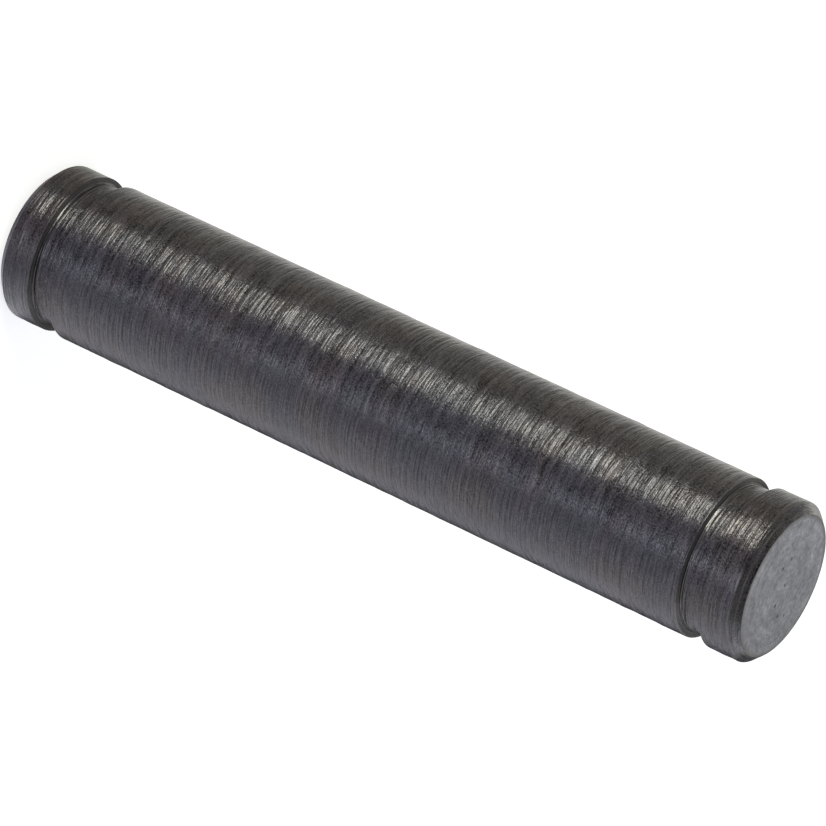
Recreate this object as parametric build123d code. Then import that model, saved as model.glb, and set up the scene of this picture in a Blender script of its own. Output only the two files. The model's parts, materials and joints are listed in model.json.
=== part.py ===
from build123d import *
import os

# Handle pin: one turned steel pin, plain along its shank, with a square ring
# groove near each end and both ends faced flat and chamfered.
#
# It stands on its lower end face. Z runs along the pin, and the origin is the
# centre of that face. Sizes are in millimetres.

# Bar
pin_diameter = 16.0
pin_length = 85.2
end_chamfer = 0.9          # 45 degrees, on both end rims

# Ring grooves, the same at both ends
groove_width = 2.5         # between the walls
groove_depth = 0.65        # from the skin of the pin to the groove's floor
groove_setback = 4.0       # from an end face to the groove's nearer wall
groove_corner = 0.15       # radius that the grooving tool's nose leaves at the floor
groove_break = 0.08        # 45 degree break on the two edges of the groove's mouth

# Worked out from the sizes above
pin_radius = pin_diameter / 2
groove_radius = pin_radius - groove_depth
groove_from_end = groove_setback + groove_width / 2
groove_heights = {
    "lower": groove_from_end,
    "upper": pin_length - groove_from_end,
}


def bar_section():
    """Half of the faced and chamfered bar: X is the radius, Y the height."""
    bar = Pos(pin_radius / 2, pin_length / 2) * Rectangle(pin_radius, pin_length)
    rim_corners = bar.vertices().group_by(Axis.X)[-1]
    return chamfer(rim_corners, end_chamfer)


def groove_section(height):
    """The metal taken out of the half section for one groove, centred at a height.

    The slot has square walls and a flat floor. The tool's nose rounds the two
    floor corners, and the mouth opens at 45 degrees, out past the skin.
    """
    half_width = groove_width / 2
    outside = pin_radius + groove_depth
    lip_radius = pin_radius - groove_break
    flare = half_width + outside - lip_radius
    slot = make_face(Polyline(
        (groove_radius, -half_width),
        (lip_radius, -half_width),
        (outside, -flare),
        (outside, flare),
        (lip_radius, half_width),
        (groove_radius, half_width),
        close=True,
    ))
    floor_corners = slot.vertices().group_by(Axis.X)[0]
    return Pos(0, height) * fillet(floor_corners, groove_corner)


def handle_pin():
    """The section with its two grooves, turned about the pin's axis."""
    section = bar_section()
    for height in groove_heights.values():
        section -= groove_section(height)
    return revolve(Plane.XZ * section, Axis.Z)


os.makedirs("parts", exist_ok=True)
pin = handle_pin()
pin.label = "handle_pin"
export_step(pin, "parts/handle_pin.step")
print(f"handle pin: {pin_diameter:g} x {pin_length:g} mm, {pin.volume / 1000:.2f} cm3")
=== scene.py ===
import json
import bpy
import numpy as np
from mathutils import Matrix, Vector


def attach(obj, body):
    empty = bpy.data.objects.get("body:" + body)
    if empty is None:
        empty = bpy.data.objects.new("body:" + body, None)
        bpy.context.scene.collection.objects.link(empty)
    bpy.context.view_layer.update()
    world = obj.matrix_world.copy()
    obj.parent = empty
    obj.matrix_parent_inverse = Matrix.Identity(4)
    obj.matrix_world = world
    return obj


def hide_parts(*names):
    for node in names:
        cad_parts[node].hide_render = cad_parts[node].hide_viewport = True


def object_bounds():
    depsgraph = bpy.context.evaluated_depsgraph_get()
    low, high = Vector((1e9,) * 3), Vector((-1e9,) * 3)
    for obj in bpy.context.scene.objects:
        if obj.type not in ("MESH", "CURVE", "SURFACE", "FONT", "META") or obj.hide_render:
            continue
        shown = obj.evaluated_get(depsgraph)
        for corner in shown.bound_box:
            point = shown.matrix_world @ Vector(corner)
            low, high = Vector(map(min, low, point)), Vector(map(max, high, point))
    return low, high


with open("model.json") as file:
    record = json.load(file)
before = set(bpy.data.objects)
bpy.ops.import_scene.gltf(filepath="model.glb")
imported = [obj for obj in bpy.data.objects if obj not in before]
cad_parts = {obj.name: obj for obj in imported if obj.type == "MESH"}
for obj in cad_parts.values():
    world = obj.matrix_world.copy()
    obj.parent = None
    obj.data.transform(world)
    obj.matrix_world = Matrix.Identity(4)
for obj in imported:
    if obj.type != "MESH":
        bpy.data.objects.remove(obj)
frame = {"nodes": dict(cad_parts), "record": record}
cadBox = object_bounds()
pinMiddle = (cadBox[0] + cadBox[1]) / 2
scene = bpy.context.scene
scene.view_settings.view_transform = "Standard"
mounts = {m["name"]: m for m in frame["record"]["mounts"]}
shankRadius = mounts["shank"]["dims"]["r_mm"] / 1000
print("frame loaded:", ", ".join(sorted(frame["nodes"])))


# camera

cameraView = {
    "lens": 281.3,                # mm
    "sensor": 36.0,               # mm
    "clip": (0.05, 20.0),         # m
    "elevation": 25.97,           # degrees above the floor
    "roll": 115.2,                # degrees, so that the pin's top points down to the right
    "pinPlace": (-0.00088, 0.00054, -0.60692),    # the pin's middle as the camera sees it, m
}


def makeCamera():
    # back points from the pin to the camera; right and up are turned about it by the roll
    elevation, roll = np.radians([cameraView["elevation"], cameraView["roll"]])
    back = np.array([0.0, -np.cos(elevation), np.sin(elevation)])
    level = np.array([1.0, 0.0, 0.0])
    upright = np.cross(back, level)
    right = np.cos(roll) * level + np.sin(roll) * upright
    up = -np.sin(roll) * level + np.cos(roll) * upright
    turn = np.stack([right, up, back], axis=1)
    place = np.array(pinMiddle) - turn @ np.array(cameraView["pinPlace"])
    data = bpy.data.cameras.new("photoCamera")
    data.lens = cameraView["lens"]
    data.sensor_width = cameraView["sensor"]
    data.clip_start, data.clip_end = cameraView["clip"]
    camera = bpy.data.objects.new("photoCamera", data)
    camera.matrix_world = Matrix.Translation(Vector(place)) @ Matrix(turn.tolist()).to_4x4()
    scene.collection.objects.link(camera)
    scene.camera = camera


makeCamera()
print("camera placed")


# helpers for nodes

noiseLow, noiseHigh = 0.3, 0.7      # most values of a noise lie between these


def addNode(tree, kind, sockets=None, **settings):
    node = tree.nodes.new(kind)
    for name, value in settings.items():
        setattr(node, name, value)
    for name, value in (sockets or {}).items():
        if isinstance(value, bpy.types.NodeSocket):
            tree.links.new(value, node.inputs[name])
        else:
            node.inputs[name].default_value = value
    return node


def mathOf(tree, operation, a, b=0.0, clamp=False):
    node = addNode(tree, "ShaderNodeMath", {0: a, 1: b}, operation=operation, use_clamp=clamp)
    return node.outputs[0]


def times(tree, a, b):
    return mathOf(tree, "MULTIPLY", a, b)


def spread(tree, value, low, high, lowOut, highOut):
    # straight line from (low, lowOut) to (high, highOut), held flat outside
    node = addNode(tree, "ShaderNodeMapRange",
                   {"Value": value, "From Min": low, "From Max": high, "To Min": lowOut, "To Max": highOut})
    return node.outputs["Result"]


def swing(tree, noise, middle, amount):
    # a noise turned into values from middle - amount to middle + amount
    return spread(tree, noise, noiseLow, noiseHigh, middle - amount, middle + amount)


def weighted(tree, terms):
    # sum of value times weight
    total = None
    for value, weight in terms:
        term = times(tree, value, weight)
        total = term if total is None else mathOf(tree, "ADD", total, term)
    return total


def separated(tree, output):
    # the place on an object or the direction in the world, and a node that splits it into x, y, z
    vector = addNode(tree, "ShaderNodeTexCoord").outputs[output]
    return vector, addNode(tree, "ShaderNodeSeparateXYZ", {0: vector})


def facing(tree, split, azimuth):
    # how far a place or a direction lies towards an azimuth a: -x sin(a) - y cos(a)
    turn = np.radians(azimuth)
    return weighted(tree, [(split.outputs["X"], -np.sin(turn)), (split.outputs["Y"], -np.cos(turn))])


def fromAxis(tree, split):
    # distance from the pin's axis: sqrt(x^2 + y^2)
    squares = [mathOf(tree, "POWER", split.outputs[axis], 2.0) for axis in ("X", "Y")]
    return mathOf(tree, "SQRT", mathOf(tree, "ADD", *squares))


# the pin's turned surface

pinShape = {
    # lengths in m
    "endChamfer": 0.90e-3,        # 45 degrees on both rims
    "chamferRound": 0.10e-3,      # worn corners of the chamfers
    "grooveCorner": 0.15e-3,      # nose of the grooving tool
    "mouthRound": 0.08e-3,        # broken edges of the groove
    "step": 0.088e-3,             # between stations along the outline
    "support": 0.02e-3,           # first station beside each round
    "bends": 5,                   # stations on each round
    "angles": 80,                 # around the pin
}


def turnedOutline():
    # corners of the half section as (radius, height, round), bottom centre to top centre;
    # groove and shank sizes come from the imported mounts
    chamfer = pinShape["endChamfer"]
    worn, nose, mouth = pinShape["chamferRound"], pinShape["grooveCorner"], pinShape["mouthRound"]
    length = cadBox[1].z
    corners = [(0, 0, 0), (shankRadius - chamfer, 0, worn), (shankRadius, chamfer, worn)]
    for name in ("lower_ring_groove", "upper_ring_groove"):
        floor = mounts[name]["dims"]["r_mm"] / 1000
        half = mounts[name]["dims"]["length_mm"] / 2000
        middle = mounts[name]["pos_m"][2]
        corners += [(shankRadius, middle - half, mouth), (floor, middle - half, nose),
                    (floor, middle + half, nose), (shankRadius, middle + half, mouth)]
    corners += [(shankRadius, length - chamfer, worn), (shankRadius - chamfer, length, worn), (0, length, 0)]
    return np.array(corners)


def stationsAlong(corners):
    # each corner becomes a circular arc that touches both sides; the straight runs between
    # are cut into equal steps. Returns points (radius, height) and the distance along them
    points, rounds = corners[:, :2], corners[:, 2]
    path = [points[:1]]
    start = points[0]
    for i in range(1, len(points)):
        towards = points[i] - points[i - 1]
        towards = towards / np.linalg.norm(towards)
        if i < len(points) - 1:
            away = points[i + 1] - points[i]
            away = away / np.linalg.norm(away)
            turn = np.arctan2(towards[0] * away[1] - towards[1] * away[0], towards @ away)
            cut = rounds[i] * np.tan(abs(turn) / 2)
        else:
            cut = 0.0
        end = points[i] - towards * cut
        reach = np.linalg.norm(end - start)
        count = max(2, int(reach / pinShape["step"]))
        support = min(pinShape["support"], reach / 4)
        along = np.concatenate([[support], np.linspace(0, reach, count + 1)[1:-1], [reach - support, reach]])
        path.append(start + towards * np.unique(along)[:, None])
        if cut > 0:
            side = np.array([-towards[1], towards[0]]) * np.sign(turn)
            centre = end + side * rounds[i]
            bend = np.linspace(0, turn, pinShape["bends"] + 1)[1:, None]
            spoke = end - centre
            path.append(centre + spoke * np.cos(bend) + np.array([-spoke[1], spoke[0]]) * np.sin(bend))
            start = path[-1][-1]
    path = np.concatenate(path)
    steps = np.linalg.norm(np.diff(path, axis=0), axis=1)
    return path, np.concatenate([[0.0], np.cumsum(steps)])


outline, along = stationsAlong(turnedOutline())
print("outline:", len(outline), "stations,", len(outline) * pinShape["angles"] * 2, "triangles")


toolMarks = {
    "seed": 11,
    "waves": 36,                  # how many wave numbers around the pin, from 0 up
    # spacing in m, depth in m, wave number at which the marks have faded to 1 / e
    "feed": (0.30e-3, 3.0e-6, 9.0),
    "chatter": (1.1e-3, 10.0e-6, 11.0),
    "faceFeed": (0.40e-3, 1.6e-6, 5.0),
    "rim": 0.12e-3,               # m, there are no marks this near to a corner
    "centre": 0.5e-3,             # m, and they fade from here to the middle of an end face
}

wearAndPaintedLight = {
    # wear on the edges, and painted shade and painted light in and beside the grooves
    # corners of the outline, numbered from the lower chamfer up, and how far from them it reaches, m
    "edges": ([0, 1, 2, 5, 6, 9, 10, 11], 0.16e-3),
    "feet": ([3, 4, 7, 8], 0.14e-3),      # painted shade at the feet of the groove walls
    "mouths": ([2, 9], 0.16e-3),          # painted shade also on the edge of each groove nearest to its end
    "scraped": ([3, 7], 0.75e-3),         # painted light on the floor of the grooves beside the walls that face up, against the wall's dark reflection
    "footGain": 2.2,                      # how soon the painted shade is full on the way to the foot
    "lowerShare": 0.45,                   # how much of it is in the lower groove
    "mouthShare": 0.7,                    # and on those edges
    "floorTop": 0.02e-3,                  # m above a groove's floor where its wall starts
    "chamferLine": 0.09e-3,               # half width of the bright line along the middle of a chamfer
    "chamferReach": 0.66e-3,              # half width of a chamfer
}


def marks(rng, angle, feed):
    # sum over k of a(s) cos(k t) + b(s) sin(k t): a and b are random values, one for each
    # feed step along the outline, joined by the smooth step 3w^2 - 2w^3 and faded by exp(-k / fade)
    spacing, depth, fade = feed
    knots = int(along[-1] / spacing) + 2
    wave = np.arange(toolMarks["waves"])
    size = np.exp(-wave / fade)
    size /= np.sqrt((size ** 2).sum())
    pair = rng.standard_normal((2, knots, len(wave))) * size
    place = along / spacing
    knot = place.astype(int)
    share = (place - knot)[:, None]
    share = share * share * (3 - 2 * share)
    cosPart, sinPart = pair[:, knot] * (1 - share) + pair[:, knot + 1] * share
    turnsOf = wave[:, None] * angle[None, :]
    return depth * (cosPart @ np.cos(turnsOf) + sinPart @ np.sin(turnsOf))


def makePin():
    # point = (r cos t, r sin t, z), with (r, z) on the outline, moved in or out by the marks
    rng = np.random.default_rng(toolMarks["seed"])
    count = pinShape["angles"]
    angle = np.arange(count) * 2 * np.pi / count
    radius, height = outline[:, 0], outline[:, 1]
    slope = np.gradient(outline, along, axis=0)
    normal = np.stack([slope[:, 1], -slope[:, 0]], axis=1)
    normal /= np.linalg.norm(normal, axis=1)[:, None]
    skin = marks(rng, angle, toolMarks["feed"]) + marks(rng, angle, toolMarks["chatter"])
    faced = marks(rng, angle, toolMarks["faceFeed"])
    # flat, within 8 degrees: an end face, or a groove wall where it lies further in than a chamfer
    flat = np.abs(normal[:, 1]) > np.cos(np.radians(8))
    inside = (height > pinShape["endChamfer"]) & (height < height[-1] - pinShape["endChamfer"])
    isFace, inGroove = flat & ~inside, flat & inside
    corners = turnedOutline()[1:-1, :2]

    def gapTo(places):
        # distance from each station to the nearest of the places
        return np.linalg.norm(outline[:, None] - places[None], axis=2).min(axis=1)

    calm = np.clip(gapTo(corners) / toolMarks["rim"] - 1, 0, 1)
    calm *= np.clip(radius / toolMarks["centre"], 0, 1) ** 2
    depth = np.where(isFace[:, None], faced, skin) * calm[:, None]
    ringRadius = radius[:, None] - normal[:, :1] * depth
    ringHeight = height[:, None] - normal[:, 1:] * depth
    rings = np.stack([ringRadius * np.cos(angle), ringRadius * np.sin(angle), ringHeight], axis=2)[1:-1]
    points = np.concatenate([[[0, 0, height[0]]], rings.reshape(-1, 3), [[0, 0, height[-1]]]])

    # vertex numbers: the two poles first and last, ring by ring between them
    number = 1 + np.arange(len(rings) * count).reshape(len(rings), count)
    nextOne = np.roll(number, -1, axis=1)
    quads = np.stack([number[:-1], nextOne[:-1], nextOne[1:], number[1:]], axis=2).reshape(-1, 4)
    top = len(points) - 1
    lowFan = np.stack([np.zeros(count, int), nextOne[0], number[0]], axis=1)
    highFan = np.stack([np.full(count, top), number[-1], nextOne[-1]], axis=1)
    mesh = bpy.data.meshes.new("turnedPin")
    mesh.from_pydata(points, [], np.concatenate([lowFan, highFan]).tolist() + quads.tolist())
    mesh.shade_smooth()

    # u runs along the outline and v around the pin
    ringU = along / along[-1]
    share, step = np.arange(count) / count, 1 / count
    lowFanV = np.stack([share + step / 2, share + step, share], axis=1)
    highFanV = lowFanV[:, [0, 2, 1]]
    lowFanU, highFanU = [np.tile(ringU[ends], (count, 1)) for ends in ([0, 1, 1], [-1, -2, -2])]
    quadU = np.stack([ringU[1:-2], ringU[1:-2], ringU[2:-1], ringU[2:-1]], axis=1).repeat(count, axis=0)
    quadV = np.tile(np.stack([share, share + step, share + step, share], axis=1), (len(rings) - 1, 1))
    ringFaced = isFace[1:-2] & isFace[2:-1]
    faceSlot = np.concatenate([np.ones(2 * count, int), ringFaced.repeat(count)])
    mesh.polygons.foreach_set("material_index", faceSlot.astype(np.int32))
    u = np.concatenate([lowFanU.ravel(), highFanU.ravel(), quadU.ravel()])
    v = np.concatenate([lowFanV.ravel(), highFanV.ravel(), quadV.ravel()])
    for name in ("turning", "OFBake"):
        layer = mesh.uv_layers.new(name=name)
        layer.data.foreach_set("uv", np.stack([u, v], axis=1).astype(np.float32).ravel())

    def paint(name, values):
        # one value for each station, carried to every vertex of its ring
        layer = mesh.attributes.new(name, "FLOAT", "POINT")
        full = np.concatenate([values[:1], values[1:-1].repeat(count), values[-1:]])
        layer.data.foreach_set("value", full.astype(np.float32))

    def near(name):
        # 1 at the corners of that wear, 0 at its reach
        numbers, reach = wearAndPaintedLight[name]
        return np.clip(1 - gapTo(corners[numbers]) / reach, 0, 1)

    paint("alongOutline", along)
    paint("edgeWear", near("edges"))
    onWall = radius > mounts["lower_ring_groove"]["dims"]["r_mm"] / 1000 + wearAndPaintedLight["floorTop"]
    # painted shade: darker colour at the feet of the groove walls and along the edge of each groove nearest
    # to its end
    foot = np.clip(wearAndPaintedLight["footGain"] * near("feet"), 0, 1) * onWall
    foot *= np.where(height < height[-1] / 2, wearAndPaintedLight["lowerShare"], 1.0)
    paint("grime", np.maximum(foot, wearAndPaintedLight["mouthShare"] * near("mouths")))
    paint("grooveWall", inGroove.astype(float))
    # painted light: a lighter groove floor beside the walls that face up
    paint("scraped", near("scraped") * ~onWall)
    # the chamfers run from corner 0 to 1 and from 10 to 11: exp(-(distance from the middle / half
    # width)^2) for the bright line, 0 or 1 for the whole
    fromMiddle = gapTo((corners[[0, 10]] + corners[[1, 11]]) / 2)
    paint("chamferLine", np.exp(-(fromMiddle / wearAndPaintedLight["chamferLine"]) ** 2))
    paint("chamfer", (fromMiddle < wearAndPaintedLight["chamferReach"]).astype(float))
    pin = bpy.data.objects.new("turnedPin", mesh)
    scene.collection.objects.link(pin)
    return pin


pin = makePin()
print("pin turned:", len(pin.data.vertices), "vertices")


# materials

steelLook = {
    "warmSkin": (0.0519, 0.0468, 0.0463),     # dark oxide, browner blotches
    "coolSkin": (0.0480, 0.0473, 0.0500),     # and bluer ones
    "wall": (0.074, 0.070, 0.068),            # groove walls, left rougher by the tool
    "wornEdge": (0.10, 0.096, 0.092),
    # painted light on the groove floors beside the walls that face up
    "scraped": (0.13, 0.125, 0.120),
    # painted shade in the corners and mouths of the grooves
    "grime": (0.011, 0.011, 0.011),
    # noise from, to, and what it is turned into from, to
    "coolShare": (0.38, 0.62, 0.0, 1.0),
    "wornShare": (0.45, 0.60, 0.0, 0.55),
    "grimeShare": (0.35, 0.55, 1.0, 0.72),
    "markDepth": (0.35, 0.65, 0.86, 1.16),    # some rings are cut rougher than others
    "scrapedShare": 0.8,
    # painted shade: the chamfers' colour darkened to this share
    "chamferShade": 0.70,
    "darkest": 0.25,                          # no mark is darker than this share of the skin
    "roughness": (0.32, 0.03),                # middle, swing
    "wallRoughness": 0.3,                     # added on groove walls and where shade is painted in the grooves
    "anisotropy": 0.80,
    # one side has a more even colour: its azimuth, the cosines from there between which it evens out,
    # and what is left of the lines and of the grain
    "smoothSide": (-42, 0.78, 0.965, 0.13, 0.50),
}

steelNoise = {
    # name: cells per metre around the pin and along it, detail, roughness of the noise, offset
    "patches": (130, 230, 2.0, 0.50, 7.7),
    "torn": (90, 800, 1.0, 0.50, 11.3),
}

streakLook = {
    # the same, then height in m and swing of the colour
    "rings": (130, 2750, 2.0, 0.58, 1.3, 1.85e-4, 0.32),
    "fine": (900, 4900, 1.0, 0.50, 4.1, 5.2e-5, 0.20),
    "lumps": (620, 1000, 1.0, 0.50, 6.4, 0.65e-4, 0.20),
    "grain": (6000, 6000, 1.0, 0.50, 2.9, 1.6e-5, 0.50),
}

faceLook = {
    "metal": (0.184, 0.187, 0.198),       # bare faced end
    "rust": (0.105, 0.096, 0.080),        # brown rim where the oxide starts
    "pit": (0.055, 0.055, 0.06),
    "roughness": (0.60, 0.05),            # middle, swing
    "slope": (1.13, 0.87),                # painted light and shade: tone at the picture's upper and lower side, -x and +x
    "rustShare": 0.8,
    "rustWidth": 0.45e-3,                 # m, of the rim
    "rustRagged": 0.15e-3,                # m, swing of its edge
    "pits": ((-2.56, -1.02), (-0.11, 0.20), (2.42, 3.13), (2.72, 1.77), (1.97, 0.14), (-1.43, -1.90),
             (4.69, 1.36)),               # mm from the middle of the upper face
    "pitSize": (0.10e-3, 0.20e-3),        # dark out to the first radius, gone at the second
    "pitRagged": 0.08e-3,                 # m, swing of their edges
    "pitDepth": 3e-5,                     # m
}

faceNoise = {
    # as in streakLook, with cells per metre across the face and outwards
    "grain": (3000, 3000, 2.0, 0.60, 3.3, 1.3e-5, 0.26),
    "clouds": (700, 700, 3.0, 0.55, 5.9, 0.0, 0.18),
    "circles": (330, 1900, 2.0, 0.60, 3.1, 0.8e-5, 0.15),
}


def newMetal(name):
    material = bpy.data.materials.new(name)
    material.use_nodes = True
    shader = material.node_tree.nodes["Principled BSDF"]
    shader.inputs["Metallic"].default_value = 1.0
    return material, material.node_tree, shader


def cells(tree, space, around, outwards, detail, rough, shift):
    # soft noise; around is its cells per metre in x and y, outwards those in z
    stretched = addNode(tree, "ShaderNodeMapping", {
        "Vector": space, "Location": (shift, shift * 2, shift * 3), "Scale": (around, around, outwards)})
    return addNode(tree, "ShaderNodeTexNoise", {
        "Vector": stretched.outputs[0], "Scale": 1.0, "Detail": detail, "Roughness": rough}).outputs[0]


def mixColour(tree, share, first, second, blend="MIX"):
    # sockets 0, 6 and 7 are the factor and the two colours, and output 2 is the mixed colour
    node = addNode(tree, "ShaderNodeMix", data_type="RGBA", clamp_factor=True, blend_type=blend)
    for socket, value in ((node.inputs[0], share), (node.inputs[6], first), (node.inputs[7], second)):
        if isinstance(value, bpy.types.NodeSocket):
            tree.links.new(value, socket)
        elif isinstance(value, tuple):
            socket.default_value = (*value, 1.0)
        else:
            socket.default_value = value
    return node.outputs[2]


def grey(tree, value):
    return addNode(tree, "ShaderNodeCombineColor", {0: value, 1: value, 2: value}).outputs[0]


def addBump(tree, shader, relief):
    # relief is a height in metres
    bump = addNode(tree, "ShaderNodeBump", {"Height": relief, "Strength": 1.0, "Distance": 1.0})
    tree.links.new(bump.outputs[0], shader.inputs["Normal"])


def turnedSteel():
    # dark oxide with broken marks round the pin, bare at its edges, with painted shade in the corners of the
    # grooves, painted light on the groove floors beside the walls that face up, and painted shade on the
    # chamfers
    material, tree, shader = newMetal("turnedSteel")
    shader.inputs["Anisotropic"].default_value = steelLook["anisotropy"]
    tangent = addNode(tree, "ShaderNodeTangent", direction_type="UV_MAP", uv_map="turning")
    tree.links.new(tangent.outputs[0], shader.inputs["Tangent"])

    # ring space: x and y of the object, and the distance along the outline in place of z
    split = separated(tree, "Object")[1]
    painted = {name: addNode(tree, "ShaderNodeAttribute", attribute_name=name).outputs["Fac"] for name in
               ("alongOutline", "edgeWear", "grime", "grooveWall", "scraped", "chamferLine", "chamfer")}
    ringSpace = addNode(tree, "ShaderNodeCombineXYZ", {
        "X": split.outputs["X"], "Y": split.outputs["Y"], "Z": painted["alongOutline"]}).outputs[0]
    patches, torn = [cells(tree, ringSpace, *steelNoise[name]) for name in ("patches", "torn")]

    # shade = 1 + sum of swing * (noise - its middle) / half its span, evened out on the smooth side
    azimuth, evenFrom, evenTo, lineShare, grainShare = steelLook["smoothSide"]
    towards = facing(tree, split, azimuth)
    lines, grains = [spread(tree, towards, evenFrom * shankRadius, evenTo * shankRadius, 1.0, left)
                     for left in (lineShare, grainShare)]
    evened = {"rings": lines, "lumps": lines, "fine": grains, "grain": grains}
    pattern, tones = {}, []
    for name, (*noise, height, change) in streakLook.items():
        pattern[name] = cells(tree, ringSpace, *noise)
        middled = mathOf(tree, "SUBTRACT", pattern[name], (noiseLow + noiseHigh) / 2)
        tones.append((times(tree, middled, change * 2 / (noiseHigh - noiseLow)), evened[name]))
    shade = mathOf(tree, "MAXIMUM", mathOf(tree, "ADD", weighted(tree, tones), 1.0), steelLook["darkest"])
    # painted shade: the chamfers darker
    shade = times(tree, shade, spread(tree, painted["chamfer"], 0.0, 1.0, 1.0, steelLook["chamferShade"]))

    cool = spread(tree, patches, *steelLook["coolShare"])
    skin = mixColour(tree, cool, steelLook["warmSkin"], steelLook["coolSkin"])
    skin = mixColour(tree, 1.0, skin, grey(tree, shade), "MULTIPLY")
    edges = mathOf(tree, "MAXIMUM", painted["edgeWear"], painted["chamferLine"])
    bare = times(tree, edges, spread(tree, pattern["rings"], *steelLook["wornShare"]))
    skin = mixColour(tree, bare, skin, steelLook["wornEdge"])
    # painted light on the groove floors beside the walls that face up
    scraped = times(tree, painted["scraped"], steelLook["scrapedShare"])
    skin = mixColour(tree, scraped, skin, steelLook["scraped"])
    skin = mixColour(tree, painted["grooveWall"], skin, steelLook["wall"])
    # painted shade in the corners and mouths of the grooves, broken up by the rings
    grooveShade = times(tree, painted["grime"], spread(tree, pattern["rings"], *steelLook["grimeShare"]))
    tree.links.new(mixColour(tree, grooveShade, skin, steelLook["grime"]), shader.inputs["Base Color"])

    coarse = times(tree, mathOf(tree, "MAXIMUM", grooveShade, painted["grooveWall"]), steelLook["wallRoughness"])
    rough = mathOf(tree, "ADD", swing(tree, patches, *steelLook["roughness"]), coarse)
    tree.links.new(rough, shader.inputs["Roughness"])
    relief = weighted(tree, [(pattern[name], streakLook[name][-2]) for name in streakLook])
    addBump(tree, shader, times(tree, relief, spread(tree, torn, *steelLook["markDepth"])))
    return material


def facedSteel():
    # matt faced end: even grain, faint broken circles, a brown rim, a few pits, and painted light and shade
    # that make it lighter towards -x and darker towards +x
    material, tree, shader = newMetal("facedSteel")
    place, split = separated(tree, "Object")
    outwards = fromAxis(tree, split)
    circleSpace = addNode(tree, "ShaderNodeCombineXYZ", {
        "X": split.outputs["X"], "Y": split.outputs["Y"], "Z": outwards}).outputs[0]
    # painted light and shade: the face lighter towards -x and darker towards +x
    shade = spread(tree, split.outputs["X"], -shankRadius, shankRadius, *faceLook["slope"])
    pattern, terms = {}, []
    for name, (*noise, height, change) in faceNoise.items():
        pattern[name] = cells(tree, circleSpace if name == "circles" else place, *noise)
        terms.append((pattern[name], height))
        shade = times(tree, shade, swing(tree, pattern[name], 1.0, change))
    face = mixColour(tree, 1.0, faceLook["metal"], grey(tree, shade), "MULTIPLY")

    rim = shankRadius - pinShape["endChamfer"]
    ragged = mathOf(tree, "ADD", outwards, swing(tree, pattern["clouds"], 0.0, faceLook["rustRagged"]))
    rusty = spread(tree, ragged, rim - faceLook["rustWidth"], rim, 0.0, faceLook["rustShare"])
    face = mixColour(tree, rusty, face, faceLook["rust"])
    pitEdge = swing(tree, pattern["grain"], 0.0, faceLook["pitRagged"])
    pits = None
    for x, y in faceLook["pits"]:
        middle = (x / 1000, y / 1000, cadBox[1].z)
        away = addNode(tree, "ShaderNodeVectorMath", {0: place, 1: middle}, operation="DISTANCE")
        bent = mathOf(tree, "ADD", away.outputs["Value"], pitEdge)
        pit = spread(tree, bent, *faceLook["pitSize"], 1.0, 0.0)
        pits = pit if pits is None else mathOf(tree, "MAXIMUM", pits, pit)
    tree.links.new(mixColour(tree, pits, face, faceLook["pit"]), shader.inputs["Base Color"])
    rough = swing(tree, pattern["clouds"], *faceLook["roughness"])
    tree.links.new(rough, shader.inputs["Roughness"])
    addBump(tree, shader, weighted(tree, terms + [(pits, -faceLook["pitDepth"])]))
    return material


pin.data.materials.append(turnedSteel())
pin.data.materials.append(facedSteel())
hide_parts("handle_pin")
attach(pin, "root")
print("steel finished")


# world, floor, a dark card of painted shadow and lamps

stageLook = {
    "floorSize": 6.0,                     # m
    "floorColour": (0.86, 0.86, 0.86),
    "lift": (0.60, 0.60, 0.60),           # light added to the floor for the eye
    # light added to the floor for reflections, by the azimuth that the pin mirrors it from, degrees
    "glow": ((-180, (0, 0, 0)), (-152, (0, 0, 0)), (-138, (0.62, 0.585, 0.68)), (-125, (0.82, 0.80, 0.89)),
             (-112, (1.18, 1.177, 1.288)), (-84, (1.386, 1.412, 1.56)), (-52, (0.758, 0.757, 0.979)),
             (-20, (0.642, 0.60, 0.788)), (20, (0.316, 0.254, 0.411)), (90, (0.363, 0.267, 0.184)),
             (140, (0.40, 0.395, 0.346)), (158, (0.93, 0.885, 0.825)), (178, (0, 0, 0))),
    "plainLight": (0.30, 0.30, 0.30),     # world light on matt things
    "backdrop": (1.208, 1.194, 1.182),    # world as the steel mirrors it, behind the pin
    "room": (0.518, 0.527, 0.649),        # and in the middle of the darker side
    "roomAzimuth": 10,                    # where that middle is
    "roomCosines": (-0.1, 0.7),           # cosines from there: backdrop below, room above
}

darkCard = {
    "azimuth": (-146, -184),      # painted shadow: a fan of floor behind the pin, so that its far side reflects dark
    "reach": (0.009, 0.35),       # m from the pin's axis
    "height": (0.0006, 0.16),     # m; it lies on the floor and stands up at the far end
    "rows": 14,
    "columns": 12,
    "colour": (0.11, 0.11, 0.12),
}

lamps = {
    # name: azimuth from the camera towards the picture's upper side and elevation in degrees,
    # distance, width and height in m, radiance, colour
    "key": (43.0, 7, 0.50, 0.26, 0.19, 17.8, (0.973, 1.0, 0.88)),
    "strip": (-18.5, 8, 0.60, 0.22, 0.20, 4.85, (0.907, 1.0, 1.113)),
    "high": (-122, 34, 0.45, 0.34, 0.26, 2.29, (0.927, 1.0, 1.197)),
    "rim": (148, 12, 0.45, 0.14, 0.16, 1.38, (0.957, 1.0, 0.825)),
}


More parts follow.
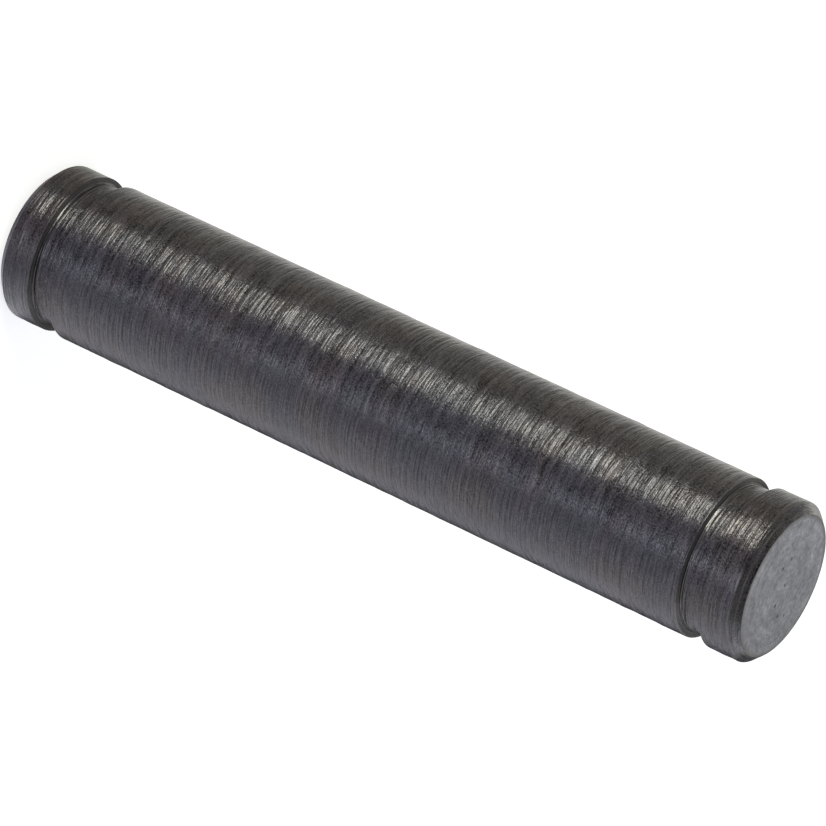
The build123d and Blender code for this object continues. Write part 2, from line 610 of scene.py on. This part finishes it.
def makeWorld():
    # white for the eye, a plain level for matt things, and for reflections a bright backdrop that
    # turns into a darker room
    world = bpy.data.worlds.new("plainWorld")
    scene.world = world
    world.use_nodes = True
    tree = world.node_tree
    towards = facing(tree, separated(tree, "Generated")[1], stageLook["roomAzimuth"])
    inRoom = spread(tree, towards, *stageLook["roomCosines"], 0.0, 1.0)
    mirrored = mixColour(tree, inRoom, stageLook["backdrop"], stageLook["room"])
    path = addNode(tree, "ShaderNodeLightPath").outputs
    matt = mixColour(tree, path["Is Camera Ray"], stageLook["plainLight"], (1.0, 1.0, 1.0))
    gloss = mathOf(tree, "ADD", path["Is Glossy Ray"], path["Is Transmission Ray"], clamp=True)
    tree.links.new(mixColour(tree, gloss, matt, mirrored), tree.nodes["Background"].inputs["Color"])


def makeSheet(name, points, faces, materialName, colour):
    # an object with a matt material of one colour; returns it, the material's tree and the matt node
    mesh = bpy.data.meshes.new(name)
    mesh.from_pydata(points, [], faces)
    sheet = bpy.data.objects.new(name, mesh)
    scene.collection.objects.link(sheet)
    material = bpy.data.materials.new(materialName)
    material.use_nodes = True
    tree = material.node_tree
    tree.nodes.remove(tree.nodes["Principled BSDF"])
    matt = addNode(tree, "ShaderNodeBsdfDiffuse", {"Color": (*colour, 1.0)})
    tree.links.new(matt.outputs[0], tree.nodes["Material Output"].inputs["Surface"])
    mesh.materials.append(material)
    return sheet, tree, matt


def makeFloor():
    half = stageLook["floorSize"] / 2
    points = [(-half, -half, 0), (half, -half, 0), (half, half, 0), (-half, half, 0)]
    floor, tree, matt = makeSheet("floor", points, [(0, 1, 2, 3)], "paleFloor", stageLook["floorColour"])
    split = separated(tree, "Object")[1]
    azimuth = mathOf(tree, "ARCTAN2", *[times(tree, split.outputs[axis], -1.0) for axis in ("X", "Y")])
    # light that the pin mirrors from direction a has left its skin, not its axis, so
    # a = azimuth + arcsin(pin radius * sin(azimuth / 2) / distance from the axis)
    away = mathOf(tree, "MAXIMUM", fromAxis(tree, split), shankRadius)
    beside = times(tree, mathOf(tree, "SINE", times(tree, azimuth, 0.5)), shankRadius)
    beside = mathOf(tree, "DIVIDE", beside, away)
    direction = mathOf(tree, "ADD", azimuth, mathOf(tree, "ARCSINE", beside))
    glow = addNode(tree, "ShaderNodeValToRGB", {0: spread(tree, direction, -np.pi, np.pi, 0.0, 1.0)})
    stops = glow.color_ramp.elements
    while len(stops) < len(stageLook["glow"]):
        stops.new(0.5)
    for stop, (degrees, colour) in zip(stops, stageLook["glow"]):
        stop.position = (degrees + 180) / 360
        stop.color = (*colour, 1.0)
    gloss = addNode(tree, "ShaderNodeLightPath").outputs["Is Glossy Ray"]
    added = mixColour(tree, gloss, stageLook["lift"], glow.outputs[0])
    lift = addNode(tree, "ShaderNodeEmission", {"Color": added})
    both = addNode(tree, "ShaderNodeAddShader", {0: matt.outputs[0], 1: lift.outputs[0]})
    tree.links.new(both.outputs[0], tree.nodes["Material Output"].inputs["Surface"])


def makeCard():
    # point = (-r sin a, -r cos a), r from close by to far in even ratios, a from the first edge to the
    # second. The first edge swings by arcsin(pin radius * sin(a / 2) / r), as the mirrored light
    # does, and the far edge stands up as a wall. It is seen in reflections only
    # painted shadow: a dark sheet seen only in reflections, standing in for shade beside the pin
    first, second = np.radians(darkCard["azimuth"])
    (close, far), (low, high) = darkCard["reach"], darkCard["height"]
    reach = np.append(np.geomspace(close, far, darkCard["rows"]), far)
    height = np.append(np.full(darkCard["rows"], low), high)
    edge = first - np.arcsin(shankRadius * np.sin(first / 2) / reach)
    turn = edge[:, None] + (second - edge)[:, None] * np.linspace(0, 1, darkCard["columns"])
    points = np.stack([-reach[:, None] * np.sin(turn), -reach[:, None] * np.cos(turn),
                       np.broadcast_to(height[:, None], turn.shape)], axis=2).reshape(-1, 3)
    number = np.arange(turn.size).reshape(turn.shape)
    faces = np.stack([number[:-1, :-1], number[:-1, 1:], number[1:, 1:], number[1:, :-1]], axis=2)
    faces = faces.reshape(-1, 4).tolist()
    card = makeSheet("darkCard", points, faces, "blackPaper", darkCard["colour"])[0]
    card.visible_camera = False
    card.visible_diffuse = False
    card.visible_shadow = False


def makeLamp(name, azimuth, elevation, distance, width, height, radiance, colour):
    # a flat panel that faces the pin; its power is pi times area times radiance
    turn, rise = np.radians([azimuth, elevation])
    away = Vector((-np.sin(turn) * np.cos(rise), -np.cos(turn) * np.cos(rise), np.sin(rise)))
    data = bpy.data.lights.new(name, "AREA")
    data.shape = "RECTANGLE"
    data.size, data.size_y = width, height
    data.energy = np.pi * width * height * radiance
    data.color = colour
    lamp = bpy.data.objects.new(name, data)
    lamp.rotation_mode = "QUATERNION"
    lamp.rotation_quaternion = away.to_track_quat("Z", "Y")
    lamp.location = pinMiddle + away * distance
    scene.collection.objects.link(lamp)


makeWorld()
makeFloor()
makeCard()
for lampName, lampFacts in lamps.items():
    makeLamp(lampName, *lampFacts)
print("stage lit by", len(lamps), "panels")
